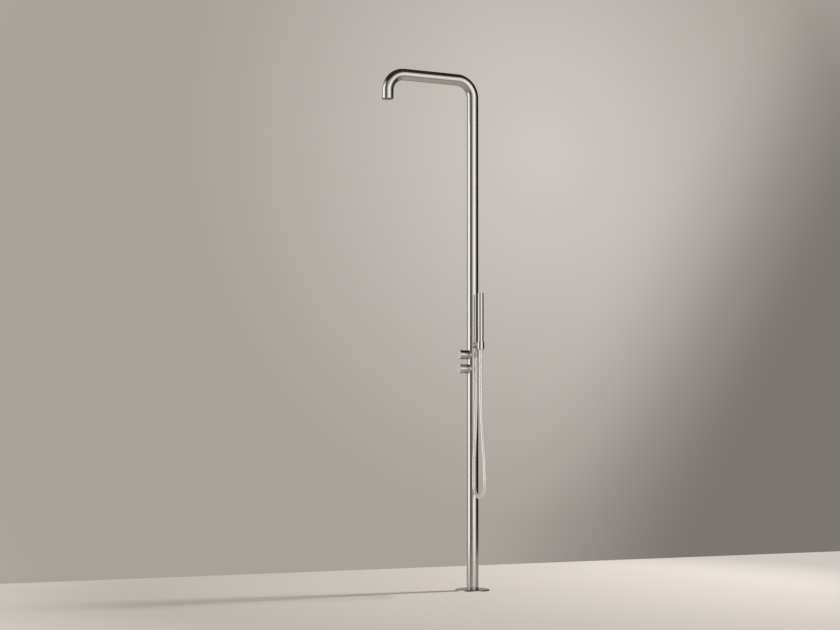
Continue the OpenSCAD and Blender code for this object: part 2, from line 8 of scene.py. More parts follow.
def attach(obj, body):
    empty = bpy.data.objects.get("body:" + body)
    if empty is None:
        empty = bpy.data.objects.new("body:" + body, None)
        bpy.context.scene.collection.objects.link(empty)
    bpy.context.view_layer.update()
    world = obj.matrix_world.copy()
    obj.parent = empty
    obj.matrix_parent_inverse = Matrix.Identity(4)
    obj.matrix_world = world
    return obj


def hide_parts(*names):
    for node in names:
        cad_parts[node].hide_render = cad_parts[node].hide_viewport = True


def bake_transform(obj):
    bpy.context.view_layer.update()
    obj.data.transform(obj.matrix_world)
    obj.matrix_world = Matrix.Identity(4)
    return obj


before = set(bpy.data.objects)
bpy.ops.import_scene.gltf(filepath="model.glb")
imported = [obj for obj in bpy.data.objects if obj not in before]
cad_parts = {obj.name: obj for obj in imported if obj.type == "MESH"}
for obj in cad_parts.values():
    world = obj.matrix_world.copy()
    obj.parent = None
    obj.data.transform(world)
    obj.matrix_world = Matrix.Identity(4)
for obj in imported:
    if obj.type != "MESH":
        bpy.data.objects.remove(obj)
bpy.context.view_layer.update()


# Camera
# It stands where the photograph was taken: about 7 m from the column, 0.7 m above the floor,
# to the spout's side of the handset, and tilted up by less than 4 degrees. The lens is 70 mm.
STAND = Vector((-3.14566, -6.22478, 0.70360))
# How far it is turned off +Y, tilted up and leant over, in radians
yaw, pitch, roll = 0.43571, 0.06609, 0.00212
camera = bpy.data.objects.new("Camera", bpy.data.cameras.new("Camera"))
bpy.context.scene.collection.objects.link(camera)
bpy.context.scene.camera = camera
camera.data.sensor_width = 36
camera.data.lens = 70.07
camera.data.clip_end = 60
bpy.context.scene.view_settings.view_transform = "Standard"
ahead = Vector((math.sin(yaw) * math.cos(pitch), math.cos(yaw) * math.cos(pitch), math.sin(pitch)))
level = Vector((math.cos(yaw), -math.sin(yaw), 0))
overhead = level.cross(ahead)
right = level * math.cos(roll) + overhead * math.sin(roll)
top = overhead * math.cos(roll) - level * math.sin(roll)
camera.matrix_world = (
    Matrix.Translation(STAND) @ Matrix((right, top, -ahead)).transposed().to_4x4()
)


# Shower hose
# A smooth PVC hose, 14 mm across: a silver foil strip is wound on the inner tube and a clear
# jacket is extruded over it. It hangs from the nut under the holder arm in one long loop and
# comes up again to the tapered nut in the cup.
HOSE_R, HOSE_SIDES, STEPS_BETWEEN = 0.007, 32, 8
# How far each end stands in its nut
SEATED = Vector((0, 0, 0.003))
# One turn of the foil, and the way round the hose, in metres
FOIL_LAY, HOSE_GIRTH = 0.004, 0.044
# Where the hose comes out of the nut under the arm and goes into the one in the cup, in mm
UNDER_ARM, IN_CUP = (0, -34, 983), (0, -76, 1012)
# Points closer than this are one, and edges bent by more than this stay sharp
ONE_POINT, SHARP = 1e-7, math.radians(35)


def circle(centre, axis, side, radius, count):
    """Points round an axis, the first of them off to its side."""
    out = axis.cross(side).normalized()
    across = axis.cross(out).normalized()
    turns = [2 * math.pi * k / count for k in range(count)]
    return [centre + radius * (math.cos(t) * out + math.sin(t) * across) for t in turns]


def skin(name, rings, joined=False):
    """A smooth mesh through rings of points, in metres, with a UV map of metres round and along."""
    shape = bmesh.new()
    metres = shape.loops.layers.uv.new("metres")
    rows = [[shape.verts.new(point) for point in ring] for ring in rings]
    count = len(rows[0])
    girth = max(sum((ring[k] - ring[k - 1]).length for k in range(count)) for ring in rings)
    step, reached = girth / count, 0.0
    for i in range(len(rows) if joined else len(rows) - 1):
        low, high = rows[i], rows[(i + 1) % len(rows)]
        past = reached + (high[0].co - low[0].co).length
        for k in range(count):
            n = (k + 1) % count
            face = shape.faces.new((low[k], low[n], high[n], high[k]))
            face.smooth = True
            corners = ((k, reached), (k + 1, reached), (k + 1, past), (k, past))
            for loop, (u, v) in zip(face.loops, corners):
                loop[metres].uv = (u * step, v)
        reached = past
    if not joined:
        shape.faces.new(rows[0][::-1])
        shape.faces.new(rows[-1])
    bmesh.ops.remove_doubles(shape, verts=shape.verts, dist=ONE_POINT)
    bmesh.ops.recalc_face_normals(shape, faces=shape.faces)
    mesh = bpy.data.meshes.new(name)
    shape.to_mesh(mesh)
    shape.free()
    mesh.set_sharp_from_angle(angle=SHARP)
    piece = bpy.data.objects.new(name, mesh)
    bpy.context.scene.collection.objects.link(piece)
    return piece


def smooth_line(points, steps):
    """Points on a smooth curve that runs through the given ones, without the last of them."""
    last, curve = len(points) - 1, []
    for i in range(last):
        p0, p1, p2, p3 = (points[max(0, min(last, j))] for j in range(i - 1, i + 3))
        for t in (step / steps for step in range(steps)):
            curve.append(0.5 * (2 * p1 + (p2 - p0) * t + (2 * p0 - 5 * p1 + 4 * p2 - p3) * t ** 2
                                + (3 * p1 - p0 - 3 * p2 + p3) * t ** 3))
    return curve


def tone(code):
    """A Blender colour from an sRGB hex value."""
    parts = [int(code[i:i + 2], 16) / 255 for i in (1, 3, 5)]
    linear = [c / 12.92 if c <= 0.04045 else ((c + 0.055) / 1.055) ** 2.4 for c in parts]
    return (*linear, 1.0)


def every(mm):
    """The scale of a pattern whose marks are so many millimetres apart."""
    return 1000 / mm


def add(material, kind, inputs, **settings):
    """One node in a material or world, with its settings and its values or links."""
    made = material.node_tree.nodes.new(kind)
    for key, value in settings.items():
        setattr(made, key, value)
    for key, value in inputs.items():
        if isinstance(value, bpy.types.NodeSocket):
            material.node_tree.links.new(value, made.inputs[key])
        else:
            made.inputs[key].default_value = value
    return made


def blank(name):
    """A material with no nodes yet."""
    material = bpy.data.materials.new(name)
    material.use_nodes = True
    material.node_tree.nodes.clear()
    return material


# The hose's middle line, in mm
route = [Vector(p) / 1000 for p in (
    UNDER_ARM, (0, -34, 945), (0, -34, 905), (0, -34, 865), (0, -34, 825),
    (-0.5, -34, 785), (-1.5, -34, 745), (-3, -34.5, 705), (-4.5, -34.5, 665),
    (-6.5, -34.5, 625), (-8, -33.5, 585), (-9.5, -32.5, 545), (-10, -32.5, 505),
    (-10, -32.5, 475), (-10, -32.5, 451), (-10.3, -36.8, 429), (-11, -49, 410.7),
    (-12.2, -67.5, 398.4), (-13.5, -89.2, 394), (-14.8, -111, 398.4), (-16, -129.5, 410.7),
    (-16.7, -141.7, 429), (-17, -146, 451), (-17, -145.5, 475), (-16.8, -143.5, 505),
    (-15.6, -138, 545), (-13.5, -129, 585), (-11.3, -118.5, 625), (-8.5, -108, 665),
    (-6.3, -98, 705), (-3.7, -89, 745), (-1.8, -82, 785), (-0.5, -78, 825),
    (0, -76, 865), (0, -76, 905), (0, -76, 945), (0, -76, 985), IN_CUP,
)]
line = smooth_line(route, STEPS_BETWEEN)
line = [route[0] + SEATED, *line, route[-1], route[-1] + SEATED]
hose_rings = []
for i, point in enumerate(line):
    axis = (line[min(i + 1, len(line) - 1)] - line[max(i - 1, 0)]).normalized()
    hose_rings.append(circle(point, axis, Vector((1, 0, 0)), HOSE_R, HOSE_SIDES))
hose = skin("shower_hose_jacket", hose_rings)

# Silver foil under clear PVC: bright and smooth, and the foil's turns show as fine slanting
# lines, 4 mm apart
silver_pvc = blank("silver_foil_under_clear_pvc")
lay = add(silver_pvc, "ShaderNodeUVMap", {}, uv_map="metres")
parts = add(silver_pvc, "ShaderNodeSeparateXYZ", {"Vector": lay.outputs["UV"]})
slant = add(silver_pvc, "ShaderNodeMath", {
    0: parts.outputs["X"], 1: FOIL_LAY / HOSE_GIRTH}, operation="MULTIPLY")
wound = add(silver_pvc, "ShaderNodeMath", {
    0: parts.outputs["Y"], 1: slant.outputs[0]}, operation="ADD")
turns = add(silver_pvc, "ShaderNodeMath", {
    0: wound.outputs[0], 1: 2 * math.pi / FOIL_LAY}, operation="MULTIPLY")
wave = add(silver_pvc, "ShaderNodeMath", {0: turns.outputs[0]}, operation="SINE")
foil = add(silver_pvc, "ShaderNodeMapRange", {
    "Value": wave.outputs[0], "From Min": -1.0, "From Max": -0.55,
})
crinkle = add(silver_pvc, "ShaderNodeTexNoise", {
    "Vector": lay.outputs["UV"], "Scale": every(2.4), "Detail": 3.0,
})
silver = add(silver_pvc, "ShaderNodeMix", {
    "Factor": foil.outputs["Result"], 6: tone("#f0efec"), 7: tone("#faf9f6"),
}, data_type="RGBA")
worn = add(silver_pvc, "ShaderNodeMapRange", {
    "Value": crinkle.outputs["Fac"], "From Min": 0.3, "From Max": 0.7, "To Min": 0.26, "To Max": 0.38,
})
relief = add(silver_pvc, "ShaderNodeBump", {
    "Height": wave.outputs[0], "Strength": 0.25, "Distance": 0.0001,
})
jacket = add(silver_pvc, "ShaderNodeBsdfPrincipled", {
    "Base Color": silver.outputs[2], "Metallic": 0.6, "Roughness": worn.outputs["Result"],
    "Coat Weight": 0.6, "Coat Roughness": 0.08, "Coat IOR": 1.53, "Normal": relief.outputs["Normal"],
})
add(silver_pvc, "ShaderNodeOutputMaterial", {"Surface": jacket.outputs["BSDF"]})
hose.data.materials.append(silver_pvc)
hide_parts("shower_hose")
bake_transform(hose)


# Hose nuts
# Turned brass, chrome plated to match the steel: a round nut that screws on the outlet under
# the holder arm, with a crimped sleeve below it, and a tapered nut that seats in the cup.
UP, OUT, SPOUTWARDS = Vector((0, 0, 1)), Vector((0, -1, 0)), Vector((-1, 0, 0))
ROUND_STEPS = 4


def eased(outline):
    """The outline with its corners rounded to the radii that their third numbers give."""
    flat = [Vector((c[0], c[1](Vector()) if callable(c[1]) else c[1])) for c in outline]
    smooth = []
    for i, corner in enumerate(outline):
        if len(corner) < 3:
            smooth.append(corner)
            continue
        here, past, on = flat[i], flat[i - 1], flat[(i + 1) % len(flat)]
        a, b = (past - here).normalized(), (on - here).normalized()
        half = a.angle(b) / 2
        middle = here + (a + b).normalized() * corner[2] / math.sin(half)
        first = here + a * corner[2] / math.tan(half) - middle
        last = here + b * corner[2] / math.tan(half) - middle
        swing = math.pi - 2 * half
        for t in (step / ROUND_STEPS for step in range(ROUND_STEPS + 1)):
            arm = (first * math.sin((1 - t) * swing) + last * math.sin(t * swing)) / math.sin(swing)
            smooth.append(tuple(middle + arm))
    return smooth


def shade_evenly(piece):
    """Keeps flat faces flat in the light, next to small rounded edges."""
    even = piece.modifiers.new("even_shading", "WEIGHTED_NORMAL")
    even.keep_sharp = True


def turned(name, outline, foot, axis, count=96, joined=True):
    """A piece turned on an axis from its outline of radii and heights, in mm from its foot.
    A third number rounds that corner. A height can be a function of the point's offset from the
    axis, for an end that is coped to a round."""
    side = OUT if axis == SPOUTWARDS else Vector((1, 0, 0))
    rings = []
    for radius, height in eased(outline):
        ring = circle(Vector(), axis, side, radius, count)
        rings.append([
            (Vector(foot) + point + axis * (height(point) if callable(height) else height)) / 1000
            for point in ring
        ])
    piece = skin(name, rings, joined)
    shade_evenly(piece)
    return piece


def finish(material, *nodes):
    """Gives CAD pieces that keep their own shape their material."""
    for node in nodes:
        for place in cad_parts[node].material_slots:
            place.material = material


# Bright chrome: a clean mirror, with a trace of haze and water marks
chrome = blank("polished_chrome_plate")
spot = add(chrome, "ShaderNodeTexCoord", {})
marks = add(chrome, "ShaderNodeTexNoise", {
    "Vector": spot.outputs["Object"], "Scale": every(6.25), "Detail": 4.0,
})
haze = add(chrome, "ShaderNodeMapRange", {
    "Value": marks.outputs["Fac"], "From Min": 0.35, "From Max": 0.7, "To Min": 0.06, "To Max": 0.14,
})
plate = add(chrome, "ShaderNodeMix", {
    "Factor": marks.outputs["Fac"], 6: tone("#c4c3c1"), 7: tone("#d2d1cf"),
}, data_type="RGBA")
plated = add(chrome, "ShaderNodeBsdfPrincipled", {
    "Base Color": plate.outputs[2], "Metallic": 1.0, "Roughness": haze.outputs["Result"],
})
add(chrome, "ShaderNodeOutputMaterial", {"Surface": plated.outputs["BSDF"]})

column_nut = turned("hose_nut_on_column", [
    # Bore, and the wider bore that holds the non-return valve
    (3, 3), (3, 27), (5.5, 27), (5.5, 35),
    # Nut, with a groove below it
    (8.25, 35, 0.5), (8.25, 16.2, 0.2), (7.8, 15.8), (7.8, 15.2),
    # Sleeve, crimped once, and the hose's socket in it
    (8.1, 14.8, 0.2), (8.1, 9, 0.2), (7.75, 8.6), (7.75, 7.6), (8.1, 7.2, 0.2), (8.1, 0, 0.5),
    (7.1, 0, 0.3), (7.1, 3),
], UNDER_ARM, UP)
cone_nut = turned("hose_nut_in_cup", [
    # Bore, and the wider bore for the handset's tail and its washer
    (4, 3), (4, 18), (8, 18), (8, 30),
    # Tapered outside with a fine groove, and the hose's socket
    (12.2, 30, 0.3), (10.45, 3.2), (10.1, 2.9), (10.1, 2.4), (10.38, 2.1), (10.25, 0, 0.5),
    (7.1, 0, 0.3), (7.1, 3),
], IN_CUP, UP)
for nut, node, body in (
    (column_nut, "hose_nut_column", "column"),
    (cone_nut, "hose_nut_handset", "handset"),
):
    nut.data.materials.append(chrome)
    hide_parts(node)
    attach(nut, body)

# Moulded white acetal, as of the non-return valve in the nut: milky, with a fine matt grain
acetal = blank("moulded_white_acetal")
spot = add(acetal, "ShaderNodeTexCoord", {})
flow = add(acetal, "ShaderNodeTexNoise", {
    "Vector": spot.outputs["Object"], "Scale": every(11), "Detail": 3.0,
})
grain = add(acetal, "ShaderNodeTexNoise", {
    "Vector": spot.outputs["Object"], "Scale": every(0.33), "Detail": 2.0,
})
milky = add(acetal, "ShaderNodeMix", {
    "Factor": flow.outputs["Fac"], 6: tone("#e2ded3"), 7: tone("#edeae2"),
}, data_type="RGBA")
texture = add(acetal, "ShaderNodeBump", {
    "Height": grain.outputs["Fac"], "Strength": 0.2, "Distance": 0.00005,
})
moulded = add(acetal, "ShaderNodeBsdfPrincipled", {
    "Base Color": milky.outputs[2], "Roughness": 0.42, "IOR": 1.48, "Normal": texture.outputs["Normal"],
})
add(acetal, "ShaderNodeOutputMaterial", {"Surface": moulded.outputs["BSDF"]})
finish(acetal, "outlet_check_valve")


# Foot
# A turned stainless flange with a hub and a welded spigot is screwed to the floor, and a thin
# spun cover with a rolled edge lies over its screws. The brass block in it takes both pipes.
COVER_R, COVER_TOP, COVER_HOLE, COVER_ROLL, SHEET = 73, 5, 25.3, 4, 1

# Machined stainless: a plain grey with tool marks in rings round the column, drawn 0.5 mm
# apart, coarser than the real feed so that they show
raw_steel = blank("machined_stainless_steel")
spot = add(raw_steel, "ShaderNodeTexCoord", {})
parts = add(raw_steel, "ShaderNodeSeparateXYZ", {"Vector": spot.outputs["Object"]})
flat = add(raw_steel, "ShaderNodeCombineXYZ", {"X": parts.outputs["X"], "Y": parts.outputs["Y"]})
out = add(raw_steel, "ShaderNodeVectorMath", {0: flat.outputs["Vector"]}, operation="LENGTH")
feed = add(raw_steel, "ShaderNodeCombineXYZ", {"X": out.outputs["Value"], "Y": parts.outputs["Z"]})
rings = add(raw_steel, "ShaderNodeTexNoise", {
    "Vector": feed.outputs["Vector"], "Scale": every(0.5), "Detail": 2.0,
})
mill = add(raw_steel, "ShaderNodeTexNoise", {
    "Vector": spot.outputs["Object"], "Scale": every(16.7), "Detail": 4.0,
})
grey = add(raw_steel, "ShaderNodeMix", {
    "Factor": mill.outputs["Fac"], 6: tone("#a8a7a4"), 7: tone("#bdbbb7"),
}, data_type="RGBA")
dull = add(raw_steel, "ShaderNodeMapRange", {
    "Value": rings.outputs["Fac"], "From Min": 0.3, "From Max": 0.7, "To Min": 0.28, "To Max": 0.42,
})
grooves = add(raw_steel, "ShaderNodeBump", {
    "Height": rings.outputs["Fac"], "Strength": 0.3, "Distance": 0.00003,
})
machined = add(raw_steel, "ShaderNodeBsdfPrincipled", {
    "Base Color": grey.outputs[2], "Metallic": 1.0, "Roughness": dull.outputs["Result"],
    "Normal": grooves.outputs["Normal"],
})
add(raw_steel, "ShaderNodeOutputMaterial", {"Surface": machined.outputs["BSDF"]})
finish(raw_steel, "floor_flange", "foot_spigot")

# Black oxide on the small screws, worn thin and grey at its edges by the key
black_oxide = blank("black_oxide_screw_steel")
spot = add(black_oxide, "ShaderNodeTexCoord", {})
rub = add(black_oxide, "ShaderNodeTexNoise", {
    "Vector": spot.outputs["Object"], "Scale": every(1.4), "Detail": 4.0,
})
bare = add(black_oxide, "ShaderNodeMapRange", {
    "Value": rub.outputs["Fac"], "From Min": 0.58, "From Max": 0.75,
})
oxide = add(black_oxide, "ShaderNodeMix", {
    "Factor": bare.outputs["Result"], 6: tone("#2b2b2d"), 7: tone("#5c5b5a"),
}, data_type="RGBA")
screw = add(black_oxide, "ShaderNodeBsdfPrincipled", {
    "Base Color": oxide.outputs[2], "Metallic": 0.8, "Roughness": 0.38,
})
add(black_oxide, "ShaderNodeOutputMaterial", {"Surface": screw.outputs["BSDF"]})
finish(black_oxide, "foot_set_screws")

# Machined brass: yellow, with fine turning lines, 0.4 mm apart, and dull handled patches
brass = blank("machined_brass")
spot = add(brass, "ShaderNodeTexCoord", {})
streak = add(brass, "ShaderNodeMapping", {
    "Vector": spot.outputs["Object"], "Scale": (every(25), every(25), every(0.4)),
})
lathe = add(brass, "ShaderNodeTexNoise", {
    "Vector": streak.outputs["Vector"], "Scale": 1.0, "Detail": 3.0,
})
tarnish = add(brass, "ShaderNodeTexNoise", {
    "Vector": spot.outputs["Object"], "Scale": every(14), "Detail": 5.0,
})
yellow = add(brass, "ShaderNodeMix", {
    "Factor": tarnish.outputs["Fac"], 6: tone("#b8924f"), 7: tone("#d9b974"),
}, data_type="RGBA")
dull = add(brass, "ShaderNodeMapRange", {
    "Value": lathe.outputs["Fac"], "From Min": 0.3, "From Max": 0.7, "To Min": 0.2, "To Max": 0.36,
})
grooves = add(brass, "ShaderNodeBump", {
    "Height": lathe.outputs["Fac"], "Strength": 0.25, "Distance": 0.00003,
})
bar = add(brass, "ShaderNodeBsdfPrincipled", {
    "Base Color": yellow.outputs[2], "Metallic": 1.0, "Roughness": dull.outputs["Result"],
    "Normal": grooves.outputs["Normal"],
})
add(brass, "ShaderNodeOutputMaterial", {"Surface": bar.outputs["BSDF"]})
finish(brass, "inlet_block")
finish(acetal, "check_valves")


def satin_stainless(name, lines, patch, detail, tones, gloss, strength, depth):
    """Stainless ground or brushed to a bright satin: soft highlights and very fine lines.
    The lines' spacing round and along the piece and the size of duller patches are in mm."""
    made = blank(name)
    lay = add(made, "ShaderNodeUVMap", {}, uv_map="metres")
    spot = add(made, "ShaderNodeTexCoord", {})
    stretch = add(made, "ShaderNodeMapping", {
        "Vector": lay.outputs["UV"], "Scale": (every(lines[0]), every(lines[1]), 1.0),
    })
    grind = add(made, "ShaderNodeTexNoise", {
        "Vector": stretch.outputs["Vector"], "Scale": 1.0, "Detail": 3.0,
    })
    touch = add(made, "ShaderNodeTexNoise", {
        "Vector": spot.outputs["Object"], "Scale": every(patch), "Detail": detail,
    })
    both = add(made, "ShaderNodeMath", {
        0: grind.outputs["Fac"], 1: touch.outputs["Fac"]}, operation="MULTIPLY")
    satin = add(made, "ShaderNodeMapRange", {
        "Value": both.outputs[0], "From Min": 0.12, "From Max": 0.4, "To Min": gloss, "To Max": 0.2,
    })
    steel_tone = add(made, "ShaderNodeMix", {
        "Factor": grind.outputs["Fac"], 6: tone(tones[0]), 7: tone(tones[1]),
    }, data_type="RGBA")
    scratch = add(made, "ShaderNodeBump", {
        "Height": grind.outputs["Fac"], "Strength": strength, "Distance": depth,
    })
    ground = add(made, "ShaderNodeBsdfPrincipled", {
        "Base Color": steel_tone.outputs[2], "Metallic": 1.0, "Roughness": satin.outputs["Result"],
        "Normal": scratch.outputs["Normal"],
    })
    add(made, "ShaderNodeOutputMaterial", {"Surface": ground.outputs["BSDF"]})
    return made


# Satin stainless, ground round the piece as it turned: soft bright bands, and ring marks
# 30 mm long and 0.3 mm apart, twice as coarse as the real grit
ring_steel = satin_stainless(
    "satin_stainless_turned", lines=(30.3, 0.303), patch=28.6, detail=4.0,
    tones=("#c2c1be", "#cecdca"), gloss=0.10, strength=0.08, depth=0.00002)
# Spun sheet: the same finish, but duller when seen at a low angle
spun_steel = ring_steel.copy()
spun_steel.name = "satin_stainless_spun_sheet"
surface = next(node for node in spun_steel.node_tree.nodes if node.type == "BSDF_PRINCIPLED")
surface.inputs["Specular Tint"].default_value = tone("#c4c3c0")

cover = turned("floor_cover_plate", [
    (COVER_HOLE, COVER_TOP - SHEET), (COVER_HOLE, COVER_TOP, 0.4),
    (COVER_R, COVER_TOP, COVER_ROLL), (COVER_R, 0, 0.3),
    (COVER_R - SHEET, 0), (COVER_R - SHEET, COVER_TOP - SHEET, COVER_ROLL - SHEET),
], (0, 0, 0), UP, 160)
cover.data.materials.append(spun_steel)
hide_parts("floor_cover")
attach(cover, "cover")


# Column tube
# One 50 x 2 mm tube of 304 stainless steel, bent twice on a mandrel and then ground and
# brushed along its length to a bright satin: long soft highlights and very fine lines.
TUBE_R, BORE_R, BEND_R, REACH = 25, 23, 75, 400
# Heights of the foot, the arm's centreline, the spout's end and the bends' centres
FOOT_Z, ARM_Z, END_Z = 16, 2175, 2065
BEND_Z = ARM_Z - BEND_R
# Heights of the two controls and the holder arm
MIXER_Z, DIVERTER_Z, HOLDER_Z = 935, 995, 1033
# The set screws at the foot: their height, and how far round the tube from +X, in degrees
SCREW_Z, SCREW_ANGLES = 22, (10, 80)
VALVE_HOLE, HOLDER_HOLE, SCREW_HOLE = 15, 6.6, 2.5
# The drills go from inside the tube's wall to outside it
DRILL_FROM, SCREW_DRILL_FROM, DRILL_TO = 12, 20, 27
BEND_STEPS, TUBE_SIDES = 24, 128
# The end's outer edge is rounded and its inner edge broken
END_ROUND, END_BREAK = 0.6, 0.3


def bend(x, start, first):
    """Places and directions round a quarter bend whose centre is at x, from a start angle."""
    for k in range(first, BEND_STEPS + 1):
        a = math.radians(start + 90 * k / BEND_STEPS)
        place = Vector((x + BEND_R * math.cos(a), 0, BEND_Z + BEND_R * math.sin(a)))
        yield place, Vector((-math.sin(a), 0, math.cos(a)))


# The rings of the straight part lie closer together round the holes
heights = [
    FOOT_Z, 17, 26, 60, 300, 600, 910, 916, 954, 970, 1014, 1024, 1044, 1200, 1500, 1800, BEND_Z,
]
down = -UP
stations = [(Vector((0, 0, z)), UP) for z in heights]
stations += bend(-BEND_R, 0, 1)
stations += [(Vector((x, 0, ARM_Z)), SPOUTWARDS) for x in (-150, -200, -250)]
stations += bend(BEND_R - REACH, 90, 0)
stations += [(Vector((-REACH, 0, z)), down) for z in (2085, END_Z + END_ROUND)]
end = Vector((-REACH, 0, END_Z))
lip = [(end - down * END_ROUND * (1 - math.sin(a)), down, TUBE_R - END_ROUND + END_ROUND * math.cos(a))
       for a in (0.4, 0.8, 1.2, math.pi / 2)]
walk = [(point, axis, TUBE_R) for point, axis in stations[1:]]
walk += [*lip, (end, down, BORE_R + END_BREAK), (end - down * END_BREAK, down, BORE_R)]
walk += [(point, axis, BORE_R) for point, axis in reversed(stations[:-1])]
walk += [(Vector((0, 0, FOOT_Z)), UP, TUBE_R)]
tube = skin("column_tube_steel", [
    [point / 1000 for point in circle(centre, axis, OUT, radius, TUBE_SIDES)]
    for centre, axis, radius in walk
], joined=True)


def drilled(piece, *drills):
    """Cuts holes out of a piece where the drills stand."""
    for drill in drills:
        hole = piece.modifiers.new("hole", "BOOLEAN")
        hole.operation, hole.solver, hole.object = "DIFFERENCE", "EXACT", drill
    bpy.context.view_layer.update()
    piece.data = bpy.data.meshes.new_from_object(
        piece.evaluated_get(bpy.context.evaluated_depsgraph_get()))
    piece.modifiers.clear()
    for drill in drills:
        bpy.data.objects.remove(drill)
    piece.data.set_sharp_from_angle(angle=SHARP)
    shade_evenly(piece)


def drill(radius, near, far, foot, axis, count=48):
    """A plain round drill along an axis."""
    return turned("drill", [(0, near), (radius, near), (radius, far), (0, far)], foot, axis, count, False)


at_screws = [Vector((math.cos(a), math.sin(a), 0)) for a in map(math.radians, SCREW_ANGLES)]
drilled(
    tube,
    drill(VALVE_HOLE, DRILL_FROM, DRILL_TO, (0, 0, MIXER_Z), SPOUTWARDS),
    drill(VALVE_HOLE, DRILL_FROM, DRILL_TO, (0, 0, DIVERTER_Z), SPOUTWARDS),
    drill(HOLDER_HOLE, DRILL_FROM, DRILL_TO, (0, 0, HOLDER_Z), OUT),
    *[drill(SCREW_HOLE, SCREW_DRILL_FROM, DRILL_TO, (0, 0, SCREW_Z), axis, 32) for axis in at_screws],
)

# Brushed along the tube: lines 0.3 mm wide and 60 mm long, twice as coarse as the real ones
# so that they show
steel = satin_stainless(
    "satin_stainless_brushed_lengthwise", lines=(0.303, 58.8), patch=71.4, detail=5.0,
    tones=("#c4c3c0", "#cfcecb"), gloss=0.12, strength=0.05, depth=0.000002)
tube.data.materials.append(steel)
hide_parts("column_tube")
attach(tube, "column")


# Supply hoses
# Two rubber hoses in a stainless braid bring hot and cold water up inside the column, with
# crimped sleeves on their ends.

# How far each hose stands off the column's axis, and one turn of a strand, in metres
HOSE_OFF, STRAND_LAY, STRANDS = 0.00975, 0.024, 12

# Stainless braid: a bright diamond weave over black rubber, of 12 strands that wind each way
braid = blank("stainless_braid_over_rubber")
spot = add(braid, "ShaderNodeTexCoord", {})
parts = add(braid, "ShaderNodeSeparateXYZ", {"Vector": spot.outputs["Object"]})
off = add(braid, "ShaderNodeMath", {0: parts.outputs["Y"]}, operation="ABSOLUTE")
off = add(braid, "ShaderNodeMath", {0: off.outputs[0], 1: HOSE_OFF}, operation="SUBTRACT")
turn = add(braid, "ShaderNodeMath", {0: off.outputs[0], 1: parts.outputs["X"]}, operation="ARCTAN2")
strands = []
for hand in (1, -1):
    climb = add(braid, "ShaderNodeMath", {
        0: parts.outputs["Z"], 1: hand * STRANDS * 2 * math.pi / STRAND_LAY}, operation="MULTIPLY")
    spin = add(braid, "ShaderNodeMath", {0: turn.outputs[0], 1: STRANDS}, operation="MULTIPLY")
    both = add(braid, "ShaderNodeMath", {0: climb.outputs[0], 1: spin.outputs[0]}, operation="ADD")
    strands.append(add(braid, "ShaderNodeMath", {0: both.outputs[0]}, operation="SINE"))
weave = add(braid, "ShaderNodeMath", {
    0: strands[0].outputs[0], 1: strands[1].outputs[0]}, operation="MAXIMUM")
wire = add(braid, "ShaderNodeMapRange", {
    "Value": weave.outputs[0], "From Min": -0.6, "From Max": 0.0,
})
braid_tone = add(braid, "ShaderNodeMix", {
    "Factor": wire.outputs["Result"], 6: tone("#26262a"), 7: tone("#c3c2c0"),
}, data_type="RGBA")
relief = add(braid, "ShaderNodeBump", {
    "Height": weave.outputs[0], "Strength": 0.6, "Distance": 0.0003,
})
woven = add(braid, "ShaderNodeBsdfPrincipled", {
    "Base Color": braid_tone.outputs[2], "Metallic": wire.outputs["Result"], "Roughness": 0.33,
    "Normal": relief.outputs["Normal"],
})
add(braid, "ShaderNodeOutputMaterial", {"Surface": woven.outputs["BSDF"]})
finish(braid, "hot_supply_hose", "cold_supply_hose")
finish(raw_steel, "supply_ferrules")


# Valves and collars
# Inside the column stand two brass valves with plastic cartridges. In front of each, a short
# stainless sleeve is coped to the round of the column and brazed on, and its small fillet of
# braze is polished to a smooth hollow.
COLLAR_R, COLLAR_BORE, COLLAR_END = 20, 15, 33
# The fillet, as how far it reaches past the collar's radius and how far off the tube
COLLAR_FILLET = ((0, 1.0), (0.12, 0.6), (0.4, 0.25), (0.9, 0.02))


def on_tube(beside, off=0.0):
    """The height above the column's axis at which a coped end meets the tube."""
    return math.sqrt(TUBE_R ** 2 - min(beside ** 2, TUBE_R ** 2 - 1)) + off


for name, z in (("mixer_collar", MIXER_Z), ("diverter_collar", DIVERTER_Z)):
    collar = turned(name, [
        (COLLAR_BORE, lambda p: on_tube(p.y)), (COLLAR_BORE, COLLAR_END, 0.3),
        (COLLAR_R, COLLAR_END, 0.4),
        *[(COLLAR_R + more, lambda p, off=off: on_tube(p.y, off)) for more, off in COLLAR_FILLET],
    ], (0, 0, z), SPOUTWARDS, 128)
    collar.data.materials.append(ring_steel)
    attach(collar, "column")
    # One CAD node holds both collars
    if name == "mixer_collar":
        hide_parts("control_collars")

finish(brass, "mixer_body", "mixer_bonnet", "link_nipple", "diverter_body", "diverter_bonnet")
finish(acetal, "mixer_cartridge", "diverter_cartridge")


# Control knobs
# Two turned stainless knobs, 40 mm across: a plain shell with a flat end and a fine broken
# edge, held on the valve's stem by a hub and one grub screw from below.
KNOB_R, KNOB_BORE, KNOB_BACK, KNOB_FLOOR, KNOB_END = 20, 17.6, 33.6, 62, 65
GRUB_X, GRUB_HOLE = -49.3, 2
# A face whose normal points this far along X belongs to the flat end
END_ON = -0.9

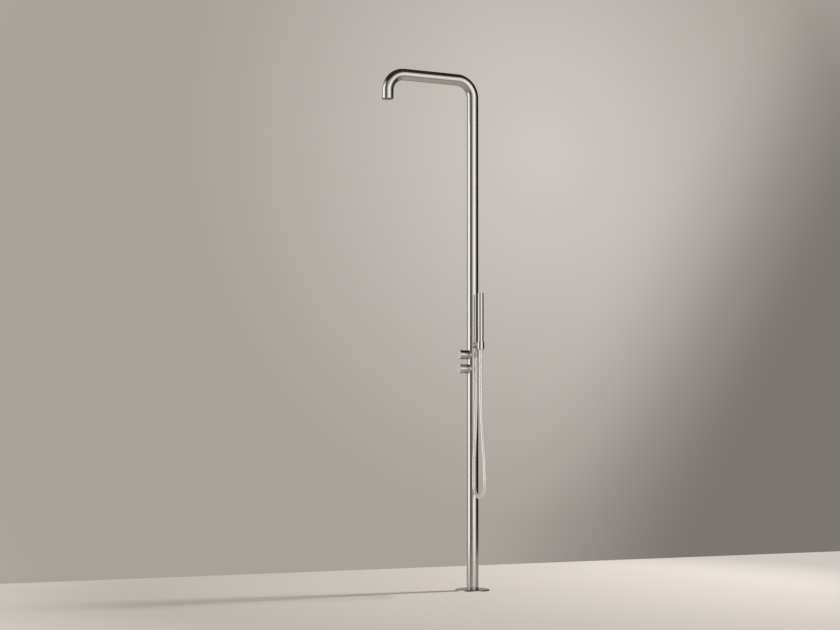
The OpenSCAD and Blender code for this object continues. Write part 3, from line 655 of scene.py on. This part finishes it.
# Faced stainless: fine circles from the facing tool, 0.4 mm apart, twice as coarse as the real ones,
# and a tone painted paler than the rest of the steel, a painted highlight for the light the flat end
# catches
face_steel_painted_bright = blank("satin_stainless_turned_face_painted_bright")
lay = add(face_steel_painted_bright, "ShaderNodeUVMap", {}, uv_map="metres")
stretch = add(face_steel_painted_bright, "ShaderNodeMapping", {
    "Vector": lay.outputs["UV"], "Scale": (every(83.3), every(0.4), 1.0),
})
circles = add(face_steel_painted_bright, "ShaderNodeTexNoise", {
    "Vector": stretch.outputs["Vector"], "Scale": 1.0, "Detail": 2.0,
})
satin = add(face_steel_painted_bright, "ShaderNodeMapRange", {
    "Value": circles.outputs["Fac"], "From Min": 0.3, "From Max": 0.7, "To Min": 0.5, "To Max": 0.6,
})
# Painted highlight: these tones are paler than the steel's, for the light that the flat end catches
painted_bright_face_tone = add(face_steel_painted_bright, "ShaderNodeMix", {
    "Factor": circles.outputs["Fac"], 6: tone("#efeeeb"), 7: tone("#f8f7f4"),
}, data_type="RGBA")
scratch = add(face_steel_painted_bright, "ShaderNodeBump", {
    "Height": circles.outputs["Fac"], "Strength": 0.2, "Distance": 0.00003,
})
faced = add(face_steel_painted_bright, "ShaderNodeBsdfPrincipled", {
    "Base Color": painted_bright_face_tone.outputs[2], "Metallic": 1.0, "Roughness": satin.outputs["Result"],
    "Normal": scratch.outputs["Normal"],
})
add(face_steel_painted_bright, "ShaderNodeOutputMaterial", {"Surface": faced.outputs["BSDF"]})

for name, z in (("mixer", MIXER_Z), ("diverter", DIVERTER_Z)):
    knob = turned(name + "_knob_shell", [
        (0, KNOB_FLOOR), (KNOB_BORE, KNOB_FLOOR), (KNOB_BORE, KNOB_BACK),
        (KNOB_R, KNOB_BACK, 0.3), (KNOB_R, KNOB_END, 0.5), (6, KNOB_END), (0, KNOB_END),
    ], (0, 0, z), SPOUTWARDS, 128, False)
    drilled(knob, drill(GRUB_HOLE, -KNOB_R - 1, -10, (GRUB_X, 0, z), UP, 32))
    knob.data.materials.append(ring_steel)
    # The flat end gets the steel with the painted paler tone, a painted highlight
    knob.data.materials.append(face_steel_painted_bright)
    for face in knob.data.polygons:
        face.material_index = int(face.normal.x < END_ON)
    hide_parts(name + "_knob")
    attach(knob, name + "_control")

# Glass-filled nylon, as of the hubs: matt black, faintly flecked
nylon = blank("glass_filled_black_nylon")
spot = add(nylon, "ShaderNodeTexCoord", {})
fibre = add(nylon, "ShaderNodeTexNoise", {
    "Vector": spot.outputs["Object"], "Scale": every(0.83), "Detail": 3.0,
})
fleck = add(nylon, "ShaderNodeMapRange", {
    "Value": fibre.outputs["Fac"], "From Min": 0.5, "From Max": 0.8,
})
dark = add(nylon, "ShaderNodeMix", {
    "Factor": fleck.outputs["Result"], 6: tone("#1c1c1d"), 7: tone("#343434"),
}, data_type="RGBA")
texture = add(nylon, "ShaderNodeBump", {
    "Height": fibre.outputs["Fac"], "Strength": 0.3, "Distance": 0.00008,
})
plastic = add(nylon, "ShaderNodeBsdfPrincipled", {
    "Base Color": dark.outputs[2], "Roughness": 0.55, "IOR": 1.53, "Normal": texture.outputs["Normal"],
})
add(nylon, "ShaderNodeOutputMaterial", {"Surface": plastic.outputs["BSDF"]})
finish(nylon, "mixer_knob_hub", "diverter_knob_hub")
finish(raw_steel, "mixer_stem", "diverter_stem")
finish(black_oxide, "mixer_grub_screw", "diverter_grub_screw")


# Riser and spout
# A drawn copper pipe runs up the column, in nylon rings, and over to the spout's plastic plug.
# The round spray plate in the tube's end is chromed, with a soft nozzle through each hole.

# Drawn copper: warm and smooth, with duller, darker patches where it has aged
copper = blank("drawn_copper_pipe")
spot = add(copper, "ShaderNodeTexCoord", {})
age = add(copper, "ShaderNodeTexNoise", {
    "Vector": spot.outputs["Object"], "Scale": every(45), "Detail": 6.0,
})
warm = add(copper, "ShaderNodeMix", {
    "Factor": age.outputs["Fac"], 6: tone("#a8684a"), 7: tone("#d0906c"),
}, data_type="RGBA")
dull = add(copper, "ShaderNodeMapRange", {
    "Value": age.outputs["Fac"], "From Min": 0.3, "From Max": 0.7, "To Min": 0.18, "To Max": 0.4,
})
drawn = add(copper, "ShaderNodeBsdfPrincipled", {
    "Base Color": warm.outputs[2], "Metallic": 1.0, "Roughness": dull.outputs["Result"],
})
add(copper, "ShaderNodeOutputMaterial", {"Surface": drawn.outputs["BSDF"]})

# Black EPDM: matt, with a faint grey bloom
rubber = blank("black_epdm_rubber")
spot = add(rubber, "ShaderNodeTexCoord", {})
bloom = add(rubber, "ShaderNodeTexNoise", {
    "Vector": spot.outputs["Object"], "Scale": every(2), "Detail": 3.0,
})
dusty = add(rubber, "ShaderNodeMix", {
    "Factor": bloom.outputs["Fac"], 6: tone("#151515"), 7: tone("#2a2a2a"),
}, data_type="RGBA")
seal = add(rubber, "ShaderNodeBsdfPrincipled", {
    "Base Color": dusty.outputs[2], "Roughness": 0.7, "IOR": 1.52,
})
add(rubber, "ShaderNodeOutputMaterial", {"Surface": seal.outputs["BSDF"]})

# Moulded silicone: an even soft grey, half matt and slightly clouded
silicone = blank("grey_moulded_silicone")
spot = add(silicone, "ShaderNodeTexCoord", {})
cloud = add(silicone, "ShaderNodeTexNoise", {
    "Vector": spot.outputs["Object"], "Scale": every(3.3), "Detail": 3.0,
})
soft_grey = add(silicone, "ShaderNodeMix", {
    "Factor": cloud.outputs["Fac"], 6: tone("#5f6063"), 7: tone("#717275"),
}, data_type="RGBA")
ripple = add(silicone, "ShaderNodeBump", {
    "Height": cloud.outputs["Fac"], "Strength": 0.15, "Distance": 0.0001,
})
gel = add(silicone, "ShaderNodeBsdfPrincipled", {
    "Base Color": soft_grey.outputs[2], "Roughness": 0.48, "IOR": 1.41, "Normal": ripple.outputs["Normal"],
})
add(silicone, "ShaderNodeOutputMaterial", {"Surface": gel.outputs["BSDF"]})
finish(copper, "riser_pipe")
finish(nylon, "riser_spacers")
finish(acetal, "spout_body")
finish(rubber, "spout_seal")
finish(chrome, "spray_plate")
finish(silicone, "spray_nozzles")


# Holder arm, outlet and cup
# A stainless bar, 24 mm across, is coped between the column and the cup and welded to both.
# It carries the water to a short outlet below it. The cup is a turned ring with a taper in it.
BAR_R, STUB_R, CUP_Y, CUP_R, CUP_Z, CUP_H = 12, 6.5, 76, 15.5, 1016, 30
OUTLET_Y, OUTLET_Z, OUTLET_R, PLUG_R = 34, 1018, 7.5, 5.5
# The welds, as how far they reach past the bar's radius and how far along it
WELD = ((0.7, 0.02), (0.3, 0.2), (0.08, 0.5), (0, 0.9))


def on_cup(beside, off=0.0):
    """The distance along the bar at which its coped end meets the cup."""
    return CUP_Y - math.sqrt(CUP_R ** 2 - beside ** 2) - off


def under_bar(beside, off=0.0):
    """The height up the outlet at which its coped end meets the bar."""
    return HOLDER_Z - OUTLET_Z - math.sqrt(BAR_R ** 2 - beside ** 2) + off


arm = turned("holder_arm_bar", [
    # Waterway, and the stub through the tube's wall
    (4, 38), (4, 10), (STUB_R, 10), (STUB_R, lambda p: on_tube(p.x)),
    # Weld, bar and weld
    *[(BAR_R + more, lambda p, off=off: on_tube(p.x, off)) for more, off in WELD],
    (BAR_R, 44),
    *[(BAR_R + more, lambda p, off=off: on_cup(p.x, off)) for more, off in reversed(WELD)],
    (5, lambda p: on_cup(p.x)), (0, lambda p: on_cup(p.x)),
], (0, 0, HOLDER_Z), OUT, 96, False)
cup = turned("holder_cup_ring", [
    # Its bore widens upwards, as the tapered nut does
    (10.86, 0, 0.3), (CUP_R, 0, 0.5), (CUP_R, CUP_H, 0.5), (12.85, CUP_H, 0.5), (12.85, 26),
], (0, -CUP_Y, CUP_Z), UP, 128)
outlet = turned("hose_outlet_stub", [
    # Bore, the plug that goes up into the bar, and the shoulder below it
    (3, 0), (3, 11), (PLUG_R, 11), (PLUG_R, lambda p: under_bar(p.x)),
    (OUTLET_R, lambda p: under_bar(p.x, 0.02)), (OUTLET_R, 0, 0.4),
], (0, -OUTLET_Y, OUTLET_Z), UP)
for piece, node in ((arm, "holder_arm"), (cup, "holder_cup"), (outlet, "hose_outlet_nipple")):
    piece.data.materials.append(ring_steel)
    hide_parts(node)
    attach(piece, "column")


# Handset
# A stick handset in the same brushed stainless: a 25 mm tube with a plastic water tube inside,
# a turned cap, and a soft spray strip in its side with two rows of nozzles.
GRIP_R, GRIP_BORE, GRIP_Z, GRIP_H = 12.5, 11, 1042, 209
SLOT_R, SLOT_HALF, SLOT_Z, SLOT_TURNS = 5.5, 27.5, 1207, 18

grip = turned("handset_grip", [
    (GRIP_BORE, GRIP_H), (GRIP_BORE, 0), (GRIP_R, 0, 0.3),
    # One ring below the slot for the strip and one above it
    (GRIP_R, 128), (GRIP_R, 201),
    (GRIP_R, GRIP_H, 0.15),
], (0, -CUP_Y, GRIP_Z), UP, 128)
slot_end = [math.radians(180 * k / SLOT_TURNS) for k in range(SLOT_TURNS + 1)]
stadium = [(SLOT_R * math.cos(a), SLOT_HALF + SLOT_R * math.sin(a)) for a in slot_end]
stadium += [(-y, -z) for y, z in stadium]
punch = skin("punch", [
    [Vector((x, y - CUP_Y, z + SLOT_Z)) / 1000 for y, z in stadium] for x in (6, 14)
])
drilled(grip, punch)
cap = turned("handset_cap_disc", [
    # A plug that is pressed into the tube, and the cap itself
    (0, -6), (10.9, -6, 0.3), (10.9, 0), (GRIP_R, 0, 0.15), (GRIP_R, 3, 0.6), (0, 3),
], (0, -CUP_Y, GRIP_Z + GRIP_H), UP, 128, False)
grip.data.materials.append(steel)
cap.data.materials.append(ring_steel)
for piece, node in ((grip, "handset_tube"), (cap, "handset_cap")):
    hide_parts(node)
    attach(piece, "handset")
finish(brass, "handset_tail")
finish(acetal, "handset_liner")
finish(rubber, "handset_washer")
finish(silicone, "handset_spray_strip")


# Floor, lights and surroundings
# A pale matt floor and a wall with painted light and shade, both fading into a plain backdrop,
# two tall soft boxes on both sides of the camera, grey and black cloths around them that give
# the steel its dark bands, and a lamp from the side that throws the column's shadow along the floor.
WALL_Y = 1.07
# Level directions from the column towards the camera and to the picture's right
towards, across = Vector((-0.451, -0.892, 0)), Vector((0.892, -0.451, 0))


def sheet_of(name, width, height, place, facing):
    """A flat sheet, not part of the object, whose sizes and places are in metres."""
    shape = bmesh.new()
    bmesh.ops.create_grid(shape, x_segments=1, y_segments=1, size=0.5)
    mesh = bpy.data.meshes.new(name)
    shape.to_mesh(mesh)
    shape.free()
    item = bpy.data.objects.new(name, mesh)
    bpy.context.scene.collection.objects.link(item)
    turn = (Vector(facing) - Vector(place)).to_track_quat("Z", "Y").to_matrix().to_4x4()
    item.matrix_world = Matrix.Translation(place) @ turn @ Matrix.Diagonal((width, height, 1, 1))
    return item


def around(angle, distance, height):
    """A place round the column, in degrees from the camera's side to the picture's right."""
    a = math.radians(angle)
    return (towards * math.cos(a) + across * math.sin(a)) * distance + Vector((0, 0, height))


# The floor fades out from 1.3 to 2.3 m off the column, and reflections see half of it
floor = sheet_of("floor", 5, 5, (0, 0, 0), (0, 0, 1))
screed = blank("pale_floor")
spot = add(screed, "ShaderNodeNewGeometry", {})
away = add(screed, "ShaderNodeVectorMath", {0: spot.outputs["Position"]}, operation="LENGTH")
fade = add(screed, "ShaderNodeMapRange", {
    "Value": away.outputs["Value"], "From Min": 1.3, "From Max": 2.3}, interpolation_type="SMOOTHSTEP")
ray = add(screed, "ShaderNodeLightPath", {})
faint = add(screed, "ShaderNodeMath", {
    0: ray.outputs["Is Glossy Ray"], 1: 0.5}, operation="MULTIPLY")
fade = add(screed, "ShaderNodeMath", {
    0: fade.outputs["Result"], 1: faint.outputs[0]}, operation="MAXIMUM")
pale = add(screed, "ShaderNodeBsdfDiffuse", {"Color": tone("#d5cec7")})
gone = add(screed, "ShaderNodeBsdfTransparent", {})
blend = add(screed, "ShaderNodeMixShader", {
    "Fac": fade.outputs[0], 1: pale.outputs["BSDF"], 2: gone.outputs["BSDF"],
})
add(screed, "ShaderNodeOutputMaterial", {"Surface": blend.outputs["Shader"]})
floor.data.materials.append(screed)

# The camera and reflections see a backdrop that is darker at the horizon, and all else gets
# an even soft light
surroundings = bpy.data.worlds.new("plain_backdrop")
bpy.context.scene.world = surroundings
surroundings.use_nodes = True
surroundings.node_tree.nodes.clear()
ray = add(surroundings, "ShaderNodeLightPath", {})
seen = add(surroundings, "ShaderNodeMath", {
    0: ray.outputs["Is Camera Ray"], 1: ray.outputs["Is Glossy Ray"]}, operation="MAXIMUM")
seen = add(surroundings, "ShaderNodeMath", {
    0: seen.outputs[0], 1: ray.outputs["Is Transmission Ray"]}, operation="MAXIMUM")
heading = add(surroundings, "ShaderNodeTexCoord", {})
rise = add(surroundings, "ShaderNodeSeparateXYZ", {"Vector": heading.outputs["Generated"]})
height = add(surroundings, "ShaderNodeMapRange", {
    "Value": rise.outputs["Z"], "From Min": -0.08, "From Max": 0.16}, interpolation_type="SMOOTHSTEP")
drop = add(surroundings, "ShaderNodeMix", {
    "Factor": height.outputs["Result"], 6: tone("#a99f98"), 7: tone("#c6bfb9"),
}, data_type="RGBA")
# Where the floor has faded, the camera sees its colour up to the horizon
below = add(surroundings, "ShaderNodeMapRange", {
    "Value": rise.outputs["Z"], "From Min": 0.02, "From Max": -0.08}, interpolation_type="SMOOTHSTEP")
floor_seen = add(surroundings, "ShaderNodeMath", {
    0: below.outputs["Result"], 1: ray.outputs["Is Camera Ray"]}, operation="MULTIPLY")
drop = add(surroundings, "ShaderNodeMix", {
    "Factor": floor_seen.outputs[0], 6: drop.outputs[2], 7: tone("#d0c9c2"),
}, data_type="RGBA")
ambient = add(surroundings, "ShaderNodeBackground", {"Color": tone("#e6e3df"), "Strength": 0.39})
backdrop = add(surroundings, "ShaderNodeBackground", {"Color": drop.outputs[2], "Strength": 1.0})
either = add(surroundings, "ShaderNodeMixShader", {
    "Fac": seen.outputs[0], 1: ambient.outputs["Background"], 2: backdrop.outputs["Background"],
})
add(surroundings, "ShaderNodeOutputWorld", {"Surface": either.outputs["Shader"]})

# The wall runs along the arm, 1.07 m behind the column, and shows only from its front. It glows
# with painted light, brighter towards the upper right, has painted shade on its lower right side, and
# fades out at its edges.
wall_painted_light = blank("pale_wall_painted_light_and_shade")
spot = add(wall_painted_light, "ShaderNodeNewGeometry", {})
apart = add(wall_painted_light, "ShaderNodeVectorMath", {
    0: spot.outputs["Position"], 1: (0.95, WALL_Y, 2.1)}, operation="DISTANCE")
dim = add(wall_painted_light, "ShaderNodeMapRange", {
    "Value": apart.outputs["Value"], "From Min": 0.1, "From Max": 1.9,
})
# Painted light: brightest near a point high on the right, darker away from it
shade = add(wall_painted_light, "ShaderNodeMix", {
    "Factor": dim.outputs["Result"], 6: tone("#cfc8c2"), 7: tone("#a9a29b"),
}, data_type="RGBA")
low = add(wall_painted_light, "ShaderNodeVectorMath", {
    0: spot.outputs["Position"], 1: (1, 0, -0.6)}, operation="DOT_PRODUCT")
low = add(wall_painted_light, "ShaderNodeMapRange", {
    "Value": low.outputs["Value"], "From Min": 0.4, "From Max": 1.9}, interpolation_type="SMOOTHSTEP")
# Painted shade on the wall's lower right side
shade = add(wall_painted_light, "ShaderNodeMix", {
    "Factor": low.outputs["Result"], 6: shade.outputs[2], 7: tone("#7b7671"),
}, data_type="RGBA")
reach = add(wall_painted_light, "ShaderNodeVectorMath", {
    0: spot.outputs["Position"], 1: (0.6, WALL_Y, 1.4)}, operation="DISTANCE")
fade = add(wall_painted_light, "ShaderNodeMapRange", {
    "Value": reach.outputs["Value"], "From Min": 2.5, "From Max": 3.9}, interpolation_type="SMOOTHSTEP")
fade = add(wall_painted_light, "ShaderNodeMath", {
    0: fade.outputs["Result"], 1: spot.outputs["Backfacing"]}, operation="MAXIMUM")
# The wall glows with this painted light and shade, and lamps do not change it
painted_light_glow = add(wall_painted_light, "ShaderNodeEmission", {"Color": shade.outputs[2], "Strength": 1.0})
gone = add(wall_painted_light, "ShaderNodeBsdfTransparent", {})
blend = add(wall_painted_light, "ShaderNodeMixShader", {
    "Fac": fade.outputs[0], 1: painted_light_glow.outputs["Emission"], 2: gone.outputs["BSDF"],
})
add(wall_painted_light, "ShaderNodeOutputMaterial", {"Surface": blend.outputs["Shader"]})
wall = sheet_of("wall", 8.0, 5.0, (0.6, WALL_Y, 2.5), (0.6, 0, 2.5))
wall.data.materials.append(wall_painted_light)
wall.visible_glossy = False
wall.visible_diffuse = False
wall.visible_shadow = False
wall.visible_transmission = False

# Sizes are in metres, the light's spread in degrees and its power in watts
for name, place, facing, width, height, spread, power, colour in (
    ("left_soft_box", around(-78, 6, 2.6), around(0, 0, 2.6), 5.4, 6.4, 110, 47, "#fffcfd"),
    ("right_soft_box", around(34, 6, 2.0), around(0, 0, 2.0), 6.6, 5.4, 90, 27.5, "#fcfffd"),
    ("side_lamp", Vector((4.5, -0.2, 4.5)), Vector((0, 0, 0)), 0.8, 0.8, 180, 332, "#ffffff"),
):
    lamp = bpy.data.lights.new(name, "AREA")
    lamp.shape, lamp.size, lamp.size_y, lamp.energy = "RECTANGLE", width, height, power
    lamp.spread = math.radians(spread)
    lamp.color = tone(colour)[:3]
    item = bpy.data.objects.new(name, lamp)
    bpy.context.scene.collection.objects.link(item)
    turn = (place - facing).to_track_quat("Z", "Y").to_matrix().to_4x4()
    item.matrix_world = Matrix.Translation(place) @ turn
    item.visible_camera = False
    item.visible_glossy = name != "side_lamp"

# Matt cloths that only reflections see
cloths = {}
for name, shade in (("black_cloth", "#1a1a1a"), ("dark_grey_cloth", "#50504e"), ("grey_cloth", "#868482")):
    cloths[name] = blank(name)
    nap = add(cloths[name], "ShaderNodeBsdfDiffuse", {"Color": tone(shade)})
    add(cloths[name], "ShaderNodeOutputMaterial", {"Surface": nap.outputs["BSDF"]})
for name, cloth, width, height, place, facing in (
    ("left_cloth", "grey_cloth", 4.2, 8.0, around(-32, 5.8, 3.2), (0, 0, 3.2)),
    ("far_left_cloth", "grey_cloth", 1.6, 8.0, around(-111, 5.8, 3.2), (0, 0, 3.2)),
    ("near_right_cloth", "grey_cloth", 2.2, 8.0, around(77, 5.6, 3.2), (0, 0, 3.2)),
    ("right_cloth", "black_cloth", 11.0, 8.0, around(115, 5.8, 3.2), (0, 0, 3.2)),
    ("ceiling_cloth", "dark_grey_cloth", 14.0, 14.0, Vector((0, 0, 8.2)), (0, 0, 0)),
):
    flag = sheet_of(name, width, height, place, facing)
    flag.data.materials.append(cloths[cloth])
    flag.visible_camera = False
    flag.visible_diffuse = False
    flag.visible_shadow = False
    flag.visible_transmission = False

bpy.context.view_layer.update()
